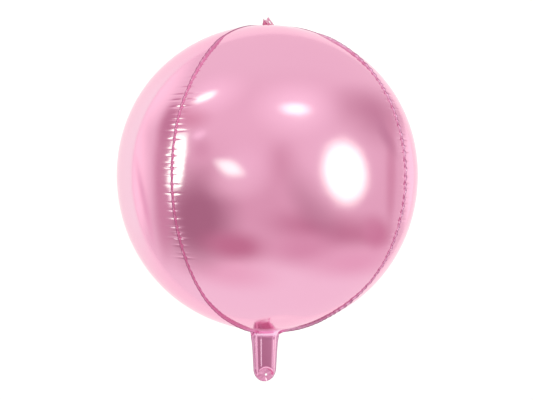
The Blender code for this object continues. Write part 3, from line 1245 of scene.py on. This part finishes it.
@dataclass
class Studio:
    """The pale round floor, the soft studio round it and the camera."""

    view: ViewPlan
    room: Colour = (0.97, 0.96, 0.955)
    seen_backdrop: Colour = (1.02, 1.02, 1.02)
    floor_radius: float = 0.53
    floor_gap: float = 0.0003
    floor_sides: int = 128
    floor_glow: float = 0.84
    floor_tone: Colour = (0.30, 0.30, 0.30)
    floor_other_tone: Colour = (0.32, 0.32, 0.32)
    floor_haze: Span = (0.85, 0.95)
    floor_glow_tone: Colour = (0.97, 1.02, 0.97)
    # Painted light: a brighter glow, with more green and blue, over the floor's left part past the neck.
    floor_left_glow: Colour = (0.95, 1.34, 1.12)
    floor_left_span: Span = (-0.42, -0.12)
    floor_near_span: Span = (-0.34, -0.12)
    # Painted shade: the floor's glow is dimmer in a ring near its rim.
    floor_edge_glow: Colour = (0.93, 0.93, 0.92)
    floor_edge_span: Span = (0.485, 0.51)
    patches: "tuple[Patch, ...]" = (
        Patch("dim_middle", (290, 179), (116, 80), (0.80, 0.66, 0.72), soft=0.5),
        Patch("middle_glow", (250, 122), (94, 34), (0.95, 0.89, 0.91), soft=0.9),
        Patch("pale_below", (280, 316), (150, 56), (1.03, 1.09, 1.06), tilt=-2, soft=0.38),
        Patch("dim_below_left", (226, 266), (38, 13), (0.95, 0.84, 0.88), soft=0.8, tilt=-8),
        Patch("dark_low_left", (198, 216), (32, 39), (0.44, 0.28, 0.35), soft=0.65),
        Patch("dark_low_left_foot", (236, 242), (29, 12.5), (0.60, 0.34, 0.44), tilt=-6, soft=0.7),
        Patch("dark_low_right", (334, 226), (46, 14), (0.56, 0.29, 0.40), soft=0.8, tilt=-7),
        Patch("dark_low_right_foot", (375, 230), (12, 16), (0.68, 0.42, 0.53), tilt=24, soft=0.6),
        Patch("dark_high_left", (190, 115), (16, 13), (0.74, 0.50, 0.58), soft=0.8),
        Patch("dark_high_right", (359, 120), (32, 24), (0.53, 0.31, 0.41), soft=0.8),
        Patch("dark_spot", (283, 162), (13, 15), (0.71, 0.52, 0.60), soft=0.9),
        Patch("dark_spot_low", (314, 203), (14, 30), (0.47, 0.27, 0.36), tilt=35, soft=0.9),
        Patch("dim_low_middle", (304, 245), (32, 13), (0.78, 0.58, 0.67), soft=0.9),
        Patch("dim_low_right", (354, 257), (34, 12), (0.90, 0.74, 0.81), tilt=4, soft=0.9),
        Patch("dark_left_middle", (201, 150), (9, 9), (0.78, 0.63, 0.70), soft=0.9),
        Patch("window_glow", (237, 181), (22, 13), (0.93, 0.88, 0.89), soft=0.9),
        Patch("window_glow_side", (246, 164), (20, 18), (0.98, 0.94, 0.96), soft=0.9),
        Patch("right_band", (390, 172), (4.5, 44), (0.70, 0.48, 0.57), soft=0.8),
        Patch("right_band_top", (383, 135), (5, 19), (0.55, 0.35, 0.45), tilt=28, soft=0.8),
        Patch("left_band", (164.5, 182), (9.5, 62), (0.68, 0.48, 0.57), soft=0.5),
        Patch("left_band_top", (170, 124), (7, 20), (0.60, 0.38, 0.48), tilt=-14, soft=0.6),
        Patch("left_wall", (122, 172), (21, 104), (1.22, 1.24, 1.20), soft=0.25),
        Patch("left_wall_high", (158, 92), (15, 44), (1.22, 1.26, 1.22), tilt=-33, soft=0.6),
        Patch("left_arc", (145, 200), (2.4, 32), (0.92, 0.76, 0.84), tilt=11, soft=0.8),
        Patch("right_wall", (416, 170), (13, 110), (1.22, 1.28, 1.25), soft=0.3),
        Patch("right_wall_high", (401, 102), (8, 34), (1.22, 1.27, 1.24), tilt=31, soft=0.6),
        Patch("right_wall_low", (404, 242), (7, 26), (1.16, 1.16, 1.16), tilt=-24, soft=0.6),
        Patch("key_halo", (335, 157), (40, 50), (0.98, 0.95, 0.96), soft=0.9, tilt=12),
        Patch("key_box", (344.2, 172), (19.6, 27.2), (1.9, 3.0, 2.2), tilt=12, soft=0.45),
        Patch("strip_box", (177.8, 161), (7.7, 25.6), (1.7, 3.0, 2.1), soft=0.22, shear=-0.14, squareness=4),
        Patch("strip_foot", (171.6, 197), (1.8, 9), (1.5, 2.2, 1.8), soft=0.5),
        Patch("low_box_glow", (296, 109), (29, 19), (1.14, 1.18, 1.16), soft=0.9),
        Patch("top_box", (295, 110.5), (12, 5.0), (1.8, 2.6, 2.1), tilt=-3, soft=0.75),
        Patch("slant_glow", (213, 97), (25, 13), (1.10, 1.10, 1.10), tilt=22, soft=0.9),
        Patch("slant_box", (205.2, 99.0), (11, 3.2), (1.8, 2.8, 2.1), tilt=24, soft=0.6),
        Patch("faint_box", (200, 136), (6, 3), (1.15, 1.2, 1.2), tilt=25, soft=0.7),
        Patch("window_box", (229.8, 167.8), (10.2, 7.2), (1.45, 2.3, 1.75), soft=0.55, shear=0.8,
              squareness=3),
    )

    def add_floor(self, effect: bpy.types.NodeTree) -> None:
        """Lay the round floor, lit from within as well as from the studio, its glow painted brighter over the
        left part past the neck and dimmer towards the rim.

        Args:
            effect: The shared effect of drawn film, here only for uneven tone and haze.
        """
        deselect_all()
        bpy.ops.mesh.primitive_circle_add(
            vertices=self.floor_sides, radius=self.floor_radius, fill_type="NGON"
        )
        floor = bpy.context.active_object
        floor.name = floor.data.name = "floor"
        floor.data.transform(Matrix.Translation((0.0, 0.0, -self.floor_gap)))
        coat = Coat("pale_floor", effect, 0.0, self.floor_haze)
        bench = coat.bench
        parts = bench.parts(coat.where)
        # Painted light: the floor's glow is brighter on the left past the neck and dimmer near the rim, for
        # the foil to reflect.
        left_glow_share = bench.ramp(parts["X"], *self.floor_left_span, 1.0, 0.0)
        past_neck = bench.ramp(parts["Y"], *self.floor_near_span, 0.0, 1.0)
        left_glow_share = bench.math("MULTIPLY", left_glow_share, past_neck)
        glow = bench.mix(left_glow_share, self.floor_glow_tone, self.floor_left_glow)
        from_middle = bench.vector("LENGTH", coat.where).outputs["Value"]
        glow = bench.mix(bench.ramp(from_middle, *self.floor_edge_span, 0.0, 1.0), glow, self.floor_edge_glow)
        tone = bench.mix(coat.film["Tint"], self.floor_tone, self.floor_other_tone)
        bench.set(coat.shader, Base_Color=tone, Roughness=coat.film["Roughness"])
        bench.set(coat.shader, Emission_Color=glow, Emission_Strength=self.floor_glow)
        floor.data.materials.append(coat.material)

    def show_plain_colours(self) -> None:
        """Show the picture's colours as they are, so that the pale floor stays white."""
        bpy.context.scene.view_settings.view_transform = "Standard"

    def add_world(self) -> None:
        """Surround the balloon with the studio's soft lights and dim parts, far away.

        A direction's place in the mirror-ball map is the half-way direction between it and the studio's
        front, which is where a ball would show it to a far camera.
        """
        world = bpy.data.worlds.new("studio")
        bpy.context.scene.world = world
        world.use_nodes = True
        tree = world.node_tree
        tree.nodes.clear()
        bench = NodeBench(tree)
        right, up, front = self.view.axes()
        direction = bench.add("TexCoord").outputs["Generated"]
        half = bench.vector("NORMALIZE", bench.vector("ADD", direction, tuple(front)).outputs[0]).outputs[0]
        place = bench.add(
            "CombineXYZ",
            X=bench.vector("DOT_PRODUCT", half, tuple(right)).outputs["Value"],
            Y=bench.vector("DOT_PRODUCT", half, tuple(up)).outputs["Value"],
        ).outputs[0]
        mask_group = patch_effect()
        colour: object = self.room
        for patch in self.patches:
            colour = bench.mix(self._mask(bench, mask_group, place, patch), colour, patch.colour)
        studio = bench.add("Background", Color=colour, Strength=1.0)
        backdrop = bench.add("Background", Color=self.seen_backdrop, Strength=1.0)
        either = bench.add("MixShader", Fac=bench.add("LightPath").outputs["Is Camera Ray"])
        bench.feed(either.inputs[1], studio.outputs[0])
        bench.feed(either.inputs[2], backdrop.outputs[0])
        bench.add("OutputWorld", Surface=either.outputs[0])

    def _mask(
        self, bench: NodeBench, group: bpy.types.NodeTree, place: bpy.types.NodeSocket, patch: Patch
    ) -> bpy.types.NodeSocket:
        """Place one patch's mask in the world, with its size worked out at its own place on the ball.

        Args:
            bench: The bench of the world's nodes.
            group: The shared mask.
            place: The looked-at place in the mirror-ball map.
            patch: The patch.

        Returns:
            The patch's mask.
        """
        x, y = patch.pixel
        wide, tall = patch.half_size
        to_map = self.view.mirror_place
        step_x = (to_map((x + 3, y))[0] - to_map((x - 3, y))[0]) / 6
        step_y = (to_map((x, y - 3))[1] - to_map((x, y + 3))[1]) / 6
        tilt = math.radians(patch.tilt)
        cosine, sine = math.cos(tilt), math.sin(tilt)
        rise = Vector((-sine / step_x, cosine / step_y, 0.0)) / tall
        across = Vector((cosine / step_x, sine / step_y, 0.0)) / wide + rise * (patch.shear * tall / wide)
        mask = bench.add("Group", {"node_tree": group, "name": patch.name}, Place=place)
        bench.set(mask, Centre=(*to_map(patch.pixel), 0.0), Across=across, Rise=rise)
        bench.set(mask, Power=patch.squareness, Soft=patch.soft)
        return mask.outputs["Mask"]


@dataclass
class Balloon:
    """The whole balloon: its seams, its four film panels and the holes punched in it."""

    ball: BallForm
    neck: NeckForm
    effect: bpy.types.NodeTree
    smooth_angle: float = 38.0
    slot_out: float = 0.0049
    slot_rise: float = 0.0058
    slot_radius: float = 0.00065
    slot_stretch: float = 5.5
    slot_depth: float = 0.006
    slot_slope: Span = (0.65, -0.76)

    def seams(self) -> "dict[int, Seam]":
        """Lay out the four seams, each with its own fin at the crown.

        Returns:
            The seams by their turn about the axis.
        """
        polar = np.linspace(0.0, math.pi, 400)
        radius, along, _, _ = self.ball.profile(polar)
        length = float(np.hypot(np.diff(radius), np.diff(along)).sum())
        right = Seam(
            45.0, length, wave=0.0012, fin_apex=0.0006, fin_reach=0.0138,
            heights=((-79, 0.0034), (-70, 0.0028), (-50, 0.0024), (-41, 0.0015), (36, 0.0014), (48, 0.0024),
                     (60, 0.0026), (67, 0.0006)),
            leans=((-60, 5), (-41, 26), (36, 30), (48, 5)),
            drifts=((-79, -9), (-60, -8), (-50, -4), (-40, -1), (-30, 0), (42, 0), (50, -2), (60, -4),
                    (70, -5)),
        )
        left = Seam(
            315.0, length, fin_height=0.0116, fin_apex=0.0074, fin_reach=0.0114, fin_inner=0.15,
            heights=((-79, 0.0030), (-66, 0.0030), (-57, 0.0028), (-45, 0.0021), (-30, 0.0019), (30, 0.0020),
                     (46, 0.0030), (54, 0.0030), (61, 0.0007)),
            leans=((-79, 0), (-60, 10), (-42, -8), (54, -8)),
            drifts=((-79, 9), (-66, 5), (-57, 1.5), (-48, 0), (90, 0)),
        )
        far = ((-79, 0.0034), (-50, 0.0024), (40, 0.0020), (60, 0.0010))
        far_left = Seam(225.0, length, far, fin_height=0.0108, fin_apex=0.0016, fin_reach=0.0084)
        far_right = Seam(135.0, length, far, fin_height=0.0090, fin_apex=0.0020, fin_reach=0.0100)
        return {round(seam.turn): seam for seam in (right, left, far_left, far_right)}

    def punches(self) -> "dict[str, Punch]":
        """Place the filling hole through the neck's flat end, and the hanging slot in one crown fin.

        Returns:
            The two holes by name.
        """
        middle = self.ball.centre_height
        hole_at = Vector((*self.neck.hole_place, middle))
        out = self.slot_out * DIAGONAL
        slot_at = Vector((out + Settling().crown_shift, self.ball.crown_rise + self.slot_rise, middle + out))
        slot_way = Vector((self.slot_slope[0] * DIAGONAL, self.slot_slope[1], self.slot_slope[0] * DIAGONAL))
        slot_axis = Vector((DIAGONAL, 0, -DIAGONAL))
        slot_size = (self.slot_radius, self.slot_stretch, slot_way, self.slot_depth)
        return {
            "neck": Punch("neck_hole_cutter", hole_at, Vector((0, 0, 1)), self.neck.hole_radius),
            "fin": Punch("fin_slot_cutter", slot_at, slot_axis, *slot_size),
        }

    def build(self) -> None:
        """Make the four panels, punch their holes, attach each to the body and hide the CAD node that it
        stands for.
        """
        finishes = [FoilFinish().material(self.effect), WeldFinish().material(self.effect)]
        seams, punches = self.seams(), self.punches()
        plan = (
            ("front_film", "front_panel", PanelKind.WALL, Turn.FRONT, ("neck", "fin")),
            ("right_film", "right_panel", PanelKind.SIDE, Turn.RIGHT, ("fin",)),
            ("back_film", "back_panel", PanelKind.WALL, Turn.BACK, ("neck",)),
            ("left_film", "left_panel", PanelKind.SIDE, Turn.LEFT, ()),
        )
        for name, node, kind, turn, holes in plan:
            piece = FilmPanel(name, kind, turn, self.ball, self.neck, seams).build(finishes)
            for hole in holes:
                punches[hole].cut(piece)
            make_active(piece)
            bpy.ops.object.shade_smooth_by_angle(angle=math.radians(self.smooth_angle))
            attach(piece, BODY)
            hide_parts(node)
            LOG.info("%s: %d faces, stands for %s", name, len(piece.data.polygons), node)


def main() -> None:
    """Build the studio, the camera and the balloon."""
    logging.basicConfig(level=logging.INFO, format="%(message)s")
    ball = BallForm.from_frame()
    effect = film_effect()
    view = ViewPlan(ball)
    view.add_camera()
    studio = Studio(view)
    studio.show_plain_colours()
    studio.add_world()
    studio.add_floor(effect)
    LOG.info("studio: %d patches", len(studio.patches))
    Balloon(ball, NeckForm(ball), effect).build()


if __name__ == "__main__":
    main()
